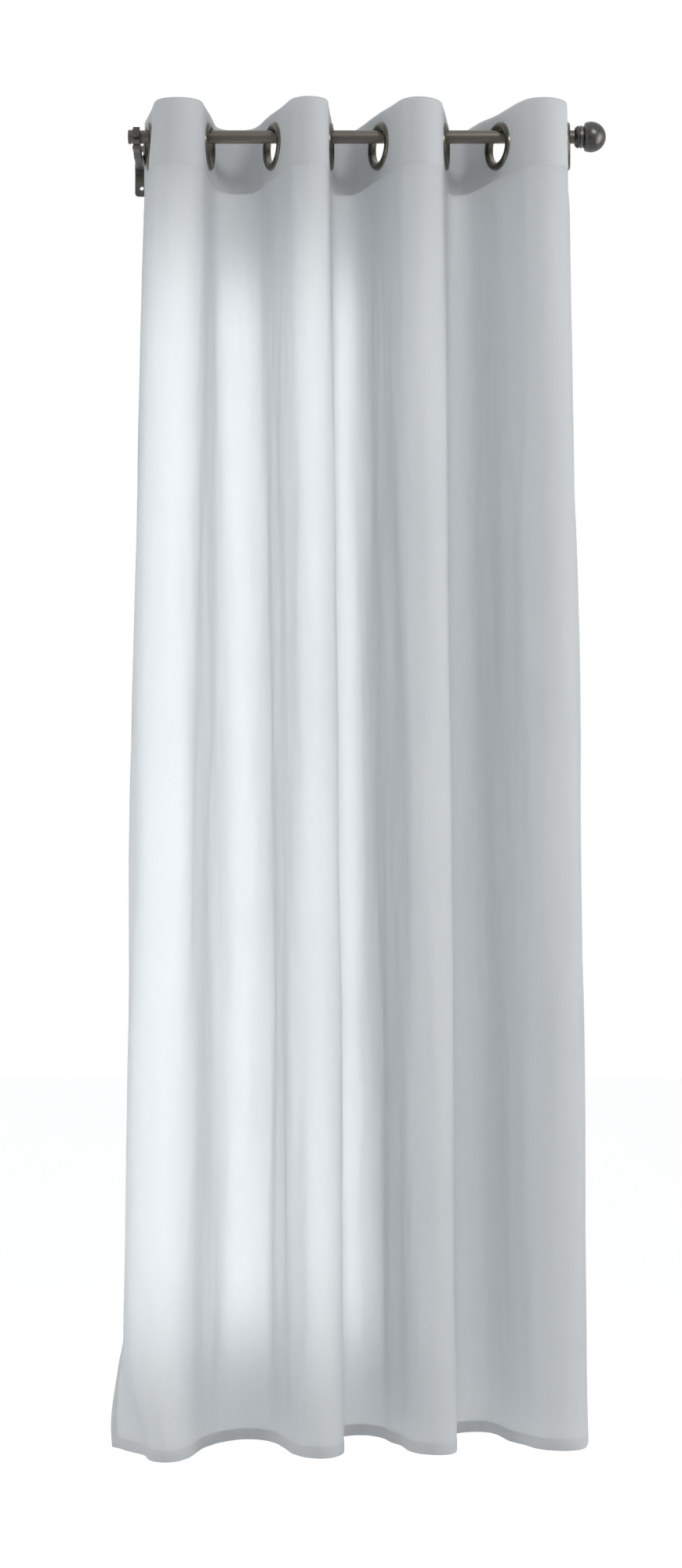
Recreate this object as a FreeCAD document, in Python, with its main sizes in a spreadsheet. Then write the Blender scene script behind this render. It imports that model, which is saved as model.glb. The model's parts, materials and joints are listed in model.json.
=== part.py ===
"""A window curtain panel hanging from a wall-mounted rod by eight metal eyelets.

Millimetres. The origin is the middle of the right wall plate's back. X runs along the rod towards
the ball finial, Y runs from the room to the wall and Z runs up. The cloth is modelled as a header
band, which holds the eyelets, and nine hanging folds below it. Each fold is on one side of the rod.
"""

import FreeCAD, Part
import math
import os
import Sketcher
from FreeCAD import Placement, Rotation, Vector

os.makedirs("parts", exist_ok=True)
doc = FreeCAD.newDocument("curtain_on_rod")

# ---------------------------------------------------------------- driving dimensions
SIZES = {
    # rod
    "rod_radius": 8.0,
    "rod_wall": 1.2,
    "rod_to_wall": 89.0,
    "rod_rise": 18.0,
    "rod_left": -496.5,
    "rod_right": 42.2,
    "plug_deep": 14.0,
    "cap_radius": 8.6,
    "cap_thick": 3.0,
    "running_gap": 0.3,
    # finial
    "ball_radius": 18.3,
    "ball_centre": 62.3,
    "collar_start": 42.5,
    "collar_radius": 13.6,
    "collar_neck": 9.4,
    "groove_deep": 1.0,
    "stud_radius": 3.0,
    # brackets
    "left_bracket": -489.0,
    "plate_wide": 17.0,
    "plate_tall": 64.0,
    "plate_thick": 3.0,
    "plate_corner": 4.5,
    "wall_hole_radius": 2.5,
    "wall_hole_gap": 44.0,
    "socket_wide": 15.0,
    "socket_tall": 11.2,
    "socket_deep": 14.0,
    "arm_wide": 9.8,
    "arm_thick": 6.0,
    "cradle_thick": 3.2,
    "cradle_wide": 8.0,
    "cradle_lip": 9.0,
    "boss_radius": 3.9,
    "boss_deep": 3.0,
    "screw_radius": 1.8,
    "knob_radius": 5.5,
    "knob_thick": 6.0,
    "lock_screw_radius": 2.0,
    "lock_head_radius": 3.4,
    "lock_head_thick": 2.2,
    # eyelets
    "eyelet_hole": 20.0,
    "eyelet_rim": 29.0,
    "eyelet_drop": 11.6,
    "flange_thick": 3.4,
    "back_thick": 3.2,
    "barrel_wall": 1.5,
    # cloth
    "cloth_thick": 1.2,
    "panel_tall": 1600.0,
    "header_tall": 80.0,
    "header_above": 40.0,
    "eyelet_pitch": 177.0,
    "side_margin": 40.0,
    "seam_gap": 0.5,
    "fold_clear": 1.0,
}

# Where the cloth crosses the rod's plane, and its angle to the rod there in degrees. The folds are
# alternately in front of the rod and behind it, so odd crossings run forwards and even ones back.
# An angle is the same at the hem as at the top, which keeps the straight parts of a fold flat.
EYELET_X = [-473.6, -401.9, -323.6, -254.7, -194.3, -115.1, -50.0, 33.0]
EYELET_ANGLE = [78.0, 83.0, 69.0, 87.0, 67.0, 83.0, 63.0, 85.0]
HEM_X = [-493.0, -406.0, -308.0, -241.0, -175.0, -108.0, -38.0, 50.0]
FOLD_NAMES = ["front_1", "rear_1", "front_2", "rear_2", "front_3", "rear_3", "front_4"]


def fold_arc(start, start_angle, end, end_angle, side, length):
    """Sizes of one fold's plan: a straight leg, a round nose and a second leg, of a given length.

    start and end are where the legs meet the rod's plane; side is -1 in front of it and 1 behind.
    """
    a, b = math.radians(start_angle), math.radians(end_angle)
    leg_a = Vector(math.cos(a), side * math.sin(a), 0)
    leg_b = Vector(-math.cos(b), side * math.sin(b), 0)
    in_a = Vector(math.sin(a), -side * math.cos(a), 0)
    in_b = Vector(-math.sin(b), -side * math.cos(b), 0)
    span = Vector(end - start, 0, 0)
    cross = leg_a.x * -leg_b.y + leg_b.x * leg_a.y
    low, high = 1.0, (end - start) / 1.2
    for _ in range(60):
        radius = (low + high) / 2
        gap = span + (in_b - in_a) * radius
        first = (gap.x * -leg_b.y + leg_b.x * gap.y) / cross
        second = (leg_a.x * gap.y - leg_a.y * gap.x) / cross
        if first + second + radius * (a + b) > length:
            low = radius
        else:
            high = radius
    return {
        "radius": radius,
        "start": Vector(start, 0, 0),
        "end": Vector(end, 0, 0),
        "leg_a": leg_a,
        "leg_b": leg_b,
        "first": first,
        "second": second,
        "centre": Vector(start, 0, 0) + leg_a * first + in_a * radius,
        "side": side,
    }


def fold_plan(crossings, angles):
    """The seven folds between eight crossings, with the panel's full width in them."""
    plan = []
    for k in range(7):
        side = -1 if k % 2 == 0 else 1
        ends = (crossings[k], angles[k], crossings[k + 1], angles[k + 1])
        plan.append(fold_arc(*ends, side, SIZES["eyelet_pitch"]))
    return plan


TOP_PLAN = fold_plan(EYELET_X, EYELET_ANGLE)
HEM_PLAN = fold_plan(HEM_X, EYELET_ANGLE)
for k in range(8):
    SIZES[f"eyelet_{k + 1}_at"] = EYELET_X[k]
for k, name in enumerate(FOLD_NAMES):
    SIZES[f"nose_top_{name}"] = round(TOP_PLAN[k]["radius"], 4)
    SIZES[f"nose_hem_{name}"] = round(HEM_PLAN[k]["radius"], 4)

sheet = doc.addObject("Spreadsheet::Sheet", "dims")
for row, (name, number) in enumerate(SIZES.items(), 1):
    sheet.set(f"A{row}", name)
    sheet.set(f"B{row}", str(number))
    sheet.setAlias(f"B{row}", name)
doc.recompute()


class Size:
    """A number together with the spreadsheet expression that gives it."""

    def __init__(self, value, text):
        self.value = value
        self.text = text

    def __add__(self, other):
        other = sized(other)
        return Size(self.value + other.value, f"({self.text} + {other.text})")

    def __sub__(self, other):
        other = sized(other)
        return Size(self.value - other.value, f"({self.text} - {other.text})")

    def __mul__(self, other):
        other = sized(other)
        return Size(self.value * other.value, f"({self.text} * {other.text})")

    def __truediv__(self, other):
        other = sized(other)
        return Size(self.value / other.value, f"({self.text} / {other.text})")

    def __neg__(self):
        return Size(-self.value, f"(0 - {self.text})")


def sized(number):
    """A plain number as a Size."""
    if isinstance(number, Size):
        return number
    return Size(float(number), f"({number})" if number < 0 else f"{number}")


def dim(name):
    """The driving dimension of that name."""
    return Size(SIZES[name], f"dims.{name}")


# ---------------------------------------------------------------- building helpers
made = []


def new_body(name, x=None, y=None, z=None):
    """An empty body that will be exported under its own name, placed by the spreadsheet."""
    body = doc.addObject("PartDesign::Body", name)
    body.Label = name
    place(body, x, y, z)
    made.append(body)
    return body


def place(thing, x=None, y=None, z=None):
    """Drive an object's position."""
    for axis, size in (("x", x), ("y", y), ("z", z)):
        if size is not None:
            thing.setExpression(f"Placement.Base.{axis}", size.text)


def turned(thing, normal):
    """Point an object's own Z axis along a direction."""
    thing.Placement = Placement(Vector(0, 0, 0), Rotation(Vector(0, 0, 1), normal))


def new_sketch(body, role, name, height=None):
    """A sketch on one of the body's own origin planes, at a driven height above it."""
    sketch = body.newObject("Sketcher::SketchObject", name)
    base = next(f for f in body.Origin.OriginFeatures if f.Role == role)
    sketch.AttachmentSupport = [(base, "")]
    sketch.MapMode = "FlatFace"
    if height is not None:
        sketch.setExpression("AttachmentOffset.Base.z", height.text)
    return sketch


def pin(sketch, geo, end, x, y):
    """Fix one end of an edge at driven coordinates."""
    for word, size, axis in (("DistanceX", sized(x), -2), ("DistanceY", sized(y), -1)):
        if abs(size.value) < 1e-9:
            sketch.addConstraint(Sketcher.Constraint("PointOnObject", geo, end, axis))
            continue
        if size.value > 0:
            index = sketch.addConstraint(Sketcher.Constraint(word, -1, 1, geo, end, size.value))
            sketch.setExpression(f"Constraints[{index}]", size.text)
        else:
            index = sketch.addConstraint(Sketcher.Constraint(word, geo, end, -1, 1, -size.value))
            sketch.setExpression(f"Constraints[{index}]", (-size).text)


def outline(sketch, corners):
    """A closed outline of straight edges, with every corner driven."""
    points = [Vector(sized(x).value, sized(y).value, 0) for x, y in corners]
    edges = []
    for k, point in enumerate(points):
        following = points[(k + 1) % len(points)]
        edges.append(sketch.addGeometry(Part.LineSegment(point, following), False))
    for k, edge in enumerate(edges):
        following = edges[(k + 1) % len(edges)]
        sketch.addConstraint(Sketcher.Constraint("Coincident", edge, 2, following, 1))
        pin(sketch, edge, 1, *corners[k])
    return edges


def circle(sketch, x, y, radius):
    """A circle with a driven centre and radius."""
    spot = Vector(sized(x).value, sized(y).value, 0)
    geo = sketch.addGeometry(Part.Circle(spot, Vector(0, 0, 1), radius.value), False)
    pin(sketch, geo, 3, x, y)
    index = sketch.addConstraint(Sketcher.Constraint("Radius", geo, radius.value))
    sketch.setExpression(f"Constraints[{index}]", radius.text)
    return geo


def revolve(body, sketch, axis, name):
    """Turn a profile all the way round one of its sketch's axes."""
    feature = body.newObject("PartDesign::Revolution", name)
    feature.Profile = sketch
    feature.ReferenceAxis = (sketch, [axis])
    feature.Angle = 360
    body.Tip = feature
    doc.recompute()
    return feature


def pad(body, sketch, length, name, middle=False):
    """Thicken a profile by a driven length, to one side or about its plane."""
    feature = body.newObject("PartDesign::Pad", name)
    feature.Profile = sketch
    feature.setExpression("Length", length.text)
    feature.Midplane = middle
    body.Tip = feature
    doc.recompute()
    return feature


def pocket_through(body, sketch, name):
    """Cut a profile right through the body, both ways."""
    feature = body.newObject("PartDesign::Pocket", name)
    feature.Profile = sketch
    feature.Type = "ThroughAll"
    feature.Midplane = True
    body.Tip = feature
    doc.recompute()
    return feature


def edges_where(feature, test):
    """The names of a feature's edges that a test picks."""
    return [f"Edge{k}" for k, e in enumerate(feature.Shape.Edges, 1) if test(e)]


def soften(body, feature, test, size, kind, name):
    """Fillet or chamfer the edges that a test picks."""
    softened = body.newObject(f"PartDesign::{kind}", name)
    softened.Base = (feature, edges_where(feature, test))
    softened.setExpression("Radius" if kind == "Fillet" else "Size", sized(size).text)
    body.Tip = softened
    doc.recompute()
    return softened


def is_circle(edge, radius, level, axis):
    """Whether an edge is a full circle of this radius, centred at this level along an axis."""
    curve = edge.Curve
    if not isinstance(curve, Part.Circle) or len(edge.Vertexes) != 1:
        return False
    return abs(curve.Radius - radius) < 0.01 and abs(curve.Center[axis] - level) < 0.01


rod_y = -dim("rod_to_wall")
rod_z = dim("rod_rise")
rod_radius = dim("rod_radius")
gap = dim("running_gap")

# ---------------------------------------------------------------- rod
bore = rod_radius - dim("rod_wall")
plug_radius = bore - 0.05

tube = new_body("rod_tube", None, rod_y, rod_z)
sketch = new_sketch(tube, "XY_Plane", "rod_tube_profile")
outline(
    sketch,
    [
        (dim("rod_left"), bore),
        (dim("rod_right"), bore),
        (dim("rod_right"), rod_radius),
        (dim("rod_left"), rod_radius),
    ],
)
revolve(tube, sketch, "H_Axis", "rod_tube_wall")

cap = new_body("rod_end_cap", None, rod_y, rod_z)
sketch = new_sketch(cap, "XY_Plane", "rod_end_cap_profile")
outline(
    sketch,
    [
        (dim("rod_left") - dim("cap_thick"), 0),
        (dim("rod_left") + dim("plug_deep"), 0),
        (dim("rod_left") + dim("plug_deep"), plug_radius),
        (dim("rod_left"), plug_radius),
        (dim("rod_left"), dim("cap_radius")),
        (dim("rod_left") - dim("cap_thick"), dim("cap_radius")),
    ],
)
turned_cap = revolve(cap, sketch, "H_Axis", "rod_end_cap_solid")
cap_face = SIZES["rod_left"] - SIZES["cap_thick"]
soften(
    cap,
    turned_cap,
    lambda e: is_circle(e, SIZES["cap_radius"], cap_face, 0),
    1.2,
    "Fillet",
    "rod_end_cap_round",
)

insert = new_body("rod_insert", None, rod_y, rod_z)
sketch = new_sketch(insert, "XY_Plane", "rod_insert_profile")
stud_hole = dim("stud_radius") + gap
outline(
    sketch,
    [
        (dim("rod_right") - 20, stud_hole),
        (dim("rod_right"), stud_hole),
        (dim("rod_right"), plug_radius),
        (dim("rod_right") - 20, plug_radius),
    ],
)
revolve(insert, sketch, "H_Axis", "rod_insert_solid")

# ---------------------------------------------------------------- finial
start = dim("collar_start")
stud = new_body("finial_stud", None, rod_y, rod_z)
sketch = new_sketch(stud, "XY_Plane", "finial_stud_profile")
outline(
    sketch,
    [
        (start - 15, 0),
        (start + 6.5, 0),
        (start + 6.5, dim("stud_radius")),
        (start - 14, dim("stud_radius")),
        (start - 15, dim("stud_radius") - 1),
    ],
)
revolve(stud, sketch, "H_Axis", "finial_stud_solid")

collar = new_body("finial_collar", None, rod_y, rod_z)
sketch = new_sketch(collar, "XY_Plane", "finial_collar_profile")
wide = dim("collar_radius")
groove = wide - dim("groove_deep")
socket = dim("stud_radius") + 0.02
ball_flat = start + 12.3
outline(
    sketch,
    [
        (start, socket),
        (start + 7, socket),
        (start + 7, 0),
        (ball_flat, 0),
        (ball_flat, wide + 2.2),
        (start + 11.4, wide + 0.4),
        (start + 10.9, wide - 0.4),
        (start + 10.3, groove),
        (start + 9.5, groove),
        (start + 8.9, wide),
        (start + 7.0, wide),
        (start + 6.3, groove),
        (start + 5.5, groove),
        (start + 4.9, wide),
        (start + 3.6, wide - 0.2),
        (start + 1.4, wide - 1.6),
        (start + 0.4, dim("collar_neck") + 0.9),
        (start, dim("collar_neck")),
    ],
)
revolve(collar, sketch, "H_Axis", "finial_collar_solid")

ball = new_body("finial_ball", dim("ball_centre"), rod_y, rod_z)
sketch = new_sketch(ball, "XY_Plane", "finial_ball_profile")
ball_radius = dim("ball_radius")
flat = dim("ball_centre") - ball_flat
half = math.sqrt(SIZES["ball_radius"] ** 2 - flat.value**2)
span = math.atan2(half, -flat.value)
whole = Part.Circle(Vector(0, 0, 0), Vector(0, 0, 1), ball_radius.value)
arc = sketch.addGeometry(Part.ArcOfCircle(whole, 0, span), False)
back = sketch.addGeometry(Part.LineSegment(Vector(-flat.value, half, 0), Vector(-flat.value, 0, 0)))
base = sketch.addGeometry(
    Part.LineSegment(Vector(-flat.value, 0, 0), Vector(ball_radius.value, 0, 0))
)
sketch.addConstraint(Sketcher.Constraint("Coincident", arc, 2, back, 1))
sketch.addConstraint(Sketcher.Constraint("Coincident", back, 2, base, 1))
sketch.addConstraint(Sketcher.Constraint("Coincident", base, 2, arc, 1))
sketch.addConstraint(Sketcher.Constraint("Vertical", back))
sketch.addConstraint(Sketcher.Constraint("Coincident", arc, 3, -1, 1))
pin(sketch, base, 1, -flat, 0)
sketch.addConstraint(Sketcher.Constraint("PointOnObject", base, 2, -1))
index = sketch.addConstraint(Sketcher.Constraint("Radius", arc, ball_radius.value))
sketch.setExpression(f"Constraints[{index}]", ball_radius.text)
revolve(ball, sketch, "H_Axis", "finial_ball_solid")


# ---------------------------------------------------------------- brackets
def build_bracket(side, x):
    """The plate, arm, cradle and two screws of one bracket, at a driven place along the rod."""
    plate = new_body(f"{side}_wall_plate", x)
    sketch = new_sketch(plate, "XZ_Plane", f"{side}_plate_outline")
    half_wide, half_tall = dim("plate_wide") / 2, dim("plate_tall") / 2
    outline(
        sketch,
        [
            (-half_wide, -half_tall),
            (half_wide, -half_tall),
            (half_wide, half_tall),
            (-half_wide, half_tall),
        ],
    )
    slab = pad(plate, sketch, dim("plate_thick"), f"{side}_plate_slab")
    corners = soften(
        plate,
        slab,
        lambda e: abs(e.Vertexes[0].X - e.Vertexes[1].X) < 0.01 and e.Length < 3.5,
        dim("plate_corner"),
        "Fillet",
        f"{side}_plate_corners",
    )
    front = -SIZES["plate_thick"]
    soften(
        plate,
        corners,
        lambda e: all(abs(v.Y - front) < 0.01 for v in e.Vertexes),
        0.8,
        "Chamfer",
        f"{side}_plate_bevel",
    )
    sketch = new_sketch(plate, "XZ_Plane", f"{side}_wall_hole_spots")
    circle(sketch, 0, dim("wall_hole_gap") / 2, dim("wall_hole_radius"))
    circle(sketch, 0, -dim("wall_hole_gap") / 2, dim("wall_hole_radius"))
    pocket_through(plate, sketch, f"{side}_wall_holes")
    sketch = new_sketch(plate, "XZ_Plane", f"{side}_socket_outline", dim("plate_thick"))
    wide, tall = dim("socket_wide") / 2, dim("socket_tall") / 2
    outline(sketch, [(-wide, -tall), (wide, -tall), (wide, tall), (-wide, tall)])
    wide, tall = dim("arm_wide") / 2 + 0.1, dim("arm_thick") / 2 + 0.1
    outline(sketch, [(-wide, -tall), (wide, -tall), (wide, tall), (-wide, tall)])
    pad(plate, sketch, dim("socket_deep"), f"{side}_socket")
    tapped = plate.newObject("PartDesign::SubtractiveCylinder", f"{side}_lock_hole")
    tapped.setExpression("Radius", (dim("lock_screw_radius") + 0.05).text)
    tapped.setExpression("Height", dim("socket_tall").text)
    place(tapped, None, -(dim("plate_thick") + dim("socket_deep") / 2), sized(0.5))
    plate.Tip = tapped
    doc.recompute()

    arm = new_body(f"{side}_arm", x)
    sketch = new_sketch(arm, "YZ_Plane", f"{side}_arm_profile")
    root_y = -dim("plate_thick")
    half_thick = dim("arm_thick") / 2
    seat = rod_z - rod_radius - gap - dim("cradle_thick")
    outline(
        sketch,
        [
            (root_y, -half_thick),
            (rod_y + 20, -half_thick),
            (rod_y + 9, seat - dim("arm_thick") + 0.4),
            (rod_y - 6, seat - dim("arm_thick") + 0.8),
            (rod_y - 6, seat),
            (rod_y + 13, seat),
            (rod_y + 23, half_thick),
            (root_y, half_thick),
        ],
    )
    bar = pad(arm, sketch, dim("arm_wide"), f"{side}_arm_bar", True)
    soften(
        arm,
        bar,
        lambda e: abs(e.Vertexes[0].X - e.Vertexes[1].X) < 0.01 and e.Length > 8,
        0.9,
        "Chamfer",
        f"{side}_arm_edges",
    )

    cradle = new_body(f"{side}_cradle", x, rod_y, rod_z)
    sketch = new_sketch(cradle, "YZ_Plane", f"{side}_cradle_outline")
    inner = rod_radius + gap
    outer = inner + dim("cradle_thick")
    lip = dim("cradle_lip")
    outline(sketch, [(-outer, -outer), (outer, -outer), (outer, lip), (-outer, lip)])
    block = pad(cradle, sketch, dim("cradle_wide"), f"{side}_cradle_block", True)
    soften(
        cradle,
        block,
        lambda e: abs(e.Vertexes[0].Z + outer.value) < 0.01 and abs(e.Length - 8) < 0.01,
        outer - 6,
        "Fillet",
        f"{side}_cradle_round",
    )
    sketch = new_sketch(cradle, "YZ_Plane", f"{side}_cradle_seat")
    left = sketch.addGeometry(Part.LineSegment(Vector(-inner.value, 20, 0), Vector(-inner.value, 0, 0)))
    whole = Part.Circle(Vector(0, 0, 0), Vector(0, 0, 1), inner.value)
    bowl = sketch.addGeometry(Part.ArcOfCircle(whole, math.pi, 2 * math.pi), False)
    right = sketch.addGeometry(Part.LineSegment(Vector(inner.value, 0, 0), Vector(inner.value, 20, 0)))
    top = sketch.addGeometry(Part.LineSegment(Vector(inner.value, 20, 0), Vector(-inner.value, 20, 0)))
    for first, first_end, second, second_end in (
        (left, 2, bowl, 1),
        (bowl, 2, right, 1),
        (right, 2, top, 1),
        (top, 2, left, 1),
    ):
        joint = Sketcher.Constraint("Coincident", first, first_end, second, second_end)
        sketch.addConstraint(joint)
    sketch.addConstraint(Sketcher.Constraint("Coincident", bowl, 3, -1, 1))
    sketch.addConstraint(Sketcher.Constraint("Vertical", right))
    sketch.addConstraint(Sketcher.Constraint("PointOnObject", left, 2, -1))
    sketch.addConstraint(Sketcher.Constraint("PointOnObject", right, 1, -1))
    pin(sketch, top, 1, inner, 20)
    pin(sketch, top, 2, -inner, 20)
    pocket_through(cradle, sketch, f"{side}_cradle_opening")
    forwards = Rotation(Vector(1, 0, 0), 90)
    boss = cradle.newObject("PartDesign::AdditiveCylinder", f"{side}_cradle_boss")
    boss.Placement = Placement(Vector(0, 0, 0), forwards)
    boss.setExpression("Radius", dim("boss_radius").text)
    boss.setExpression("Height", (dim("boss_deep") + 1).text)
    place(boss, None, -(outer - 1))
    drilled = cradle.newObject("PartDesign::SubtractiveCylinder", f"{side}_screw_hole")
    drilled.Placement = Placement(Vector(0, 0, 0), forwards)
    drilled.setExpression("Radius", (dim("screw_radius") + gap).text)
    drilled.setExpression("Height", (dim("boss_deep") + 6).text)
    place(drilled, None, -(inner - 1))
    cradle.Tip = drilled
    doc.recompute()

    knob = new_body(f"{side}_thumbscrew")
    turned(knob, Vector(0, -1, 0))
    place(knob, x, rod_y - rod_radius, rod_z)
    sketch = new_sketch(knob, "XZ_Plane", f"{side}_thumbscrew_profile")
    shank, rim = dim("screw_radius"), dim("knob_radius")
    head = gap + dim("cradle_thick") + dim("boss_deep") + 0.6
    outline(
        sketch,
        [
            (0, gap),
            (shank - 0.5, gap),
            (shank, gap + 0.8),
            (shank, head),
            (rim - 1.5, head),
            (rim, head + 1),
            (rim, head + dim("knob_thick") - 0.8),
            (rim - 0.8, head + dim("knob_thick")),
            (0, head + dim("knob_thick")),
        ],
    )
    revolve(knob, sketch, "V_Axis", f"{side}_thumbscrew_solid")
    sketch = new_sketch(knob, "XY_Plane", f"{side}_knurl_spot", head)
    circle(sketch, rim + 0.25, 0, sized(0.7))
    knurl = knob.newObject("PartDesign::Pocket", f"{side}_knurl")
    knurl.Profile = sketch
    knurl.setExpression("Length", (dim("knob_thick") + 1).text)
    knurl.Reversed = True
    knob.Tip = knurl
    doc.recompute()
    ribs = knob.newObject("PartDesign::PolarPattern", f"{side}_knurling")
    ribs.Originals = [knurl]
    ribs.Axis = (sketch, ["N_Axis"])
    ribs.Angle = 360
    ribs.Occurrences = 14
    knob.Tip = ribs
    doc.recompute()

    lock = new_body(f"{side}_lock_screw")
    place(lock, x, -(dim("plate_thick") + dim("socket_deep") / 2))
    sketch = new_sketch(lock, "XZ_Plane", f"{side}_lock_screw_profile")
    under, over = dim("arm_thick") / 2 + 0.05, dim("socket_tall") / 2
    head_top = over + dim("lock_head_thick")
    outline(
        sketch,
        [
            (0, under),
            (dim("lock_screw_radius"), under),
            (dim("lock_screw_radius"), over),
            (dim("lock_head_radius"), over),
            (dim("lock_head_radius"), head_top - 0.9),
            (dim("lock_head_radius") - 0.9, head_top),
            (0, head_top),
        ],
    )
    revolve(lock, sketch, "V_Axis", f"{side}_lock_screw_solid")


build_bracket("right", None)
build_bracket("left", dim("left_bracket"))


# ---------------------------------------------------------------- eyelets
def cloth_normal(k):
    """The direction that the room side of the cloth faces at eyelet k, counted from 0."""
    angle = math.radians(EYELET_ANGLE[k])
    sign = -1 if k % 2 == 0 else 1
    return Vector(sign * math.sin(angle), -math.cos(angle), 0)


def build_eyelet(k):
    """The front ring with its barrel, and the back ring that closes on it."""
    x, z = dim(f"eyelet_{k + 1}_at"), rod_z - dim("eyelet_drop")
    hole, rim = dim("eyelet_hole"), dim("eyelet_rim")
    off = dim("cloth_thick") / 2 + gap
    flange = off + dim("flange_thick")
    barrel = hole + dim("barrel_wall")
    back_face = off + dim("back_thick")

    ring = new_body(f"eyelet_{k + 1}_front_ring")
    turned(ring, cloth_normal(k))
    place(ring, x, rod_y, z)
    sketch = new_sketch(ring, "XZ_Plane", f"eyelet_{k + 1}_front_profile")
    outline(
        sketch,
        [
            (hole, -back_face),
            (barrel, -back_face),
            (barrel, off),
            (rim, off),
            (rim - 0.4, off + 1.2),
            (rim - 2.2, flange - 0.4),
            (rim - 4.4, flange),
            (hole + 2.4, flange - 0.5),
            (hole + 0.5, flange - 1.6),
            (hole, flange - 2.4),
        ],
    )
    revolve(ring, sketch, "V_Axis", f"eyelet_{k + 1}_front_solid")

    ring = new_body(f"eyelet_{k + 1}_back_ring")
    turned(ring, cloth_normal(k))
    place(ring, x, rod_y, z)
    sketch = new_sketch(ring, "XZ_Plane", f"eyelet_{k + 1}_back_profile")
    outline(
        sketch,
        [
            (barrel + 0.1, -off),
            (barrel + 0.1, -back_face),
            (rim - 2.6, -back_face),
            (rim - 0.5, -(back_face - 0.9)),
            (rim, -off),
        ],
    )
    revolve(ring, sketch, "V_Axis", f"eyelet_{k + 1}_back_solid")


for k in range(8):
    build_eyelet(k)


# ---------------------------------------------------------------- cloth
def path_of(folds, ends):
    """Joints (point, heading) of a plan line and, between them, None for a straight or its fold."""
    joints, pieces = [], []
    if ends[0] is not None:
        joints.append((ends[0], (folds[0]["start"] - ends[0]).normalize()))
    else:
        heading = folds[0]["leg_a"]
        joints.append((folds[0]["start"] + heading * SIZES["fold_clear"], heading))
    for fold in folds:
        into, out_of = fold["leg_a"], -fold["leg_b"]
        pieces.append(None)
        joints.append((fold["start"] + into * fold["first"], into))
        pieces.append(fold)
        joints.append((fold["end"] + fold["leg_b"] * fold["second"], out_of))
    pieces.append(None)
    if ends[1] is not None:
        joints.append((ends[1], (ends[1] - folds[-1]["end"]).normalize()))
    else:
        heading = -folds[-1]["leg_b"]
        joints.append((folds[-1]["end"] - heading * SIZES["fold_clear"], heading))
    return joints, pieces


def strip(sketch, joints, pieces, noses):
    """The closed outline of cloth of even thickness along a plan line, with driven noses."""
    half = SIZES["cloth_thick"] / 2
    sides = []
    for sign in (1, -1):
        row = [p + Vector(-h.y, h.x, 0) * (half * sign) for p, h in joints]
        edges = []
        for k, fold in enumerate(pieces):
            if fold is None:
                line = Part.LineSegment(row[k], row[k + 1])
                edges.append((sketch.addGeometry(line, False), 1, 2))
                continue
            # in front of the rod the nose turns anticlockwise, and behind it clockwise
            anticlockwise = fold["side"] < 0
            radius = fold["radius"] - half * sign * (1 if anticlockwise else -1)
            first, last = (row[k], row[k + 1]) if anticlockwise else (row[k + 1], row[k])
            centre = fold["centre"]
            a0 = math.atan2(first.y - centre.y, first.x - centre.x)
            a1 = math.atan2(last.y - centre.y, last.x - centre.x)
            if a1 < a0:
                a1 += 2 * math.pi
            whole = Part.Circle(centre, Vector(0, 0, 1), radius)
            geo = sketch.addGeometry(Part.ArcOfCircle(whole, a0, a1), False)
            edges.append((geo, 1, 2) if anticlockwise else (geo, 2, 1))
            nose = noses[fold["name"]]
            grown = nose + dim("cloth_thick") / (2 if radius > fold["radius"] else -2)
            index = sketch.addConstraint(Sketcher.Constraint("Radius", geo, radius))
            sketch.setExpression(f"Constraints[{index}]", grown.text)
        for (a, _, a_end), (b, b_start, _) in zip(edges, edges[1:]):
            sketch.addConstraint(Sketcher.Constraint("Coincident", a, a_end, b, b_start))
        sides.append((edges, row))
    (left, left_row), (right, right_row) = sides
    for end, pick in ((0, 1), (-1, 2)):
        cap = sketch.addGeometry(Part.LineSegment(left_row[end], right_row[end]), False)
        sketch.addConstraint(Sketcher.Constraint("Coincident", cap, 1, left[end][0], left[end][pick]))
        sketch.addConstraint(Sketcher.Constraint("Coincident", cap, 2, right[end][0], right[end][pick]))


for fold, name in zip(TOP_PLAN, FOLD_NAMES):
    fold["name"] = name
for fold, name in zip(HEM_PLAN, FOLD_NAMES):
    fold["name"] = name
TOP_NOSES = {name: dim(f"nose_top_{name}") for name in FOLD_NAMES}
HEM_NOSES = {name: dim(f"nose_hem_{name}") for name in FOLD_NAMES}


def side_edge(plan, which):
    """The corner of the panel beyond its first or last crossing, behind the rod."""
    fold = plan[which]
    back = -fold["leg_a"] if which == 0 else -fold["leg_b"]
    return (fold["start"] if which == 0 else fold["end"]) + back * SIZES["side_margin"]


# The corner of the panel is behind the rod, so the last margin runs backwards from eyelet 8.
top_ends = (side_edge(TOP_PLAN, 0), side_edge(TOP_PLAN, -1))
hem_ends = (side_edge(HEM_PLAN, 0), side_edge(HEM_PLAN, -1))

top_edge = rod_z - dim("eyelet_drop") + dim("header_above")
seam = top_edge - dim("header_tall")
hem = top_edge - dim("panel_tall")

band = new_body("header_strip", None, rod_y)
made.remove(band)
sketch = new_sketch(band, "XY_Plane", "header_plan", seam)
joints, pieces = path_of(TOP_PLAN, top_ends)
strip(sketch, joints, pieces, TOP_NOSES)
pad(band, sketch, dim("header_tall"), "header_pad")

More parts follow.
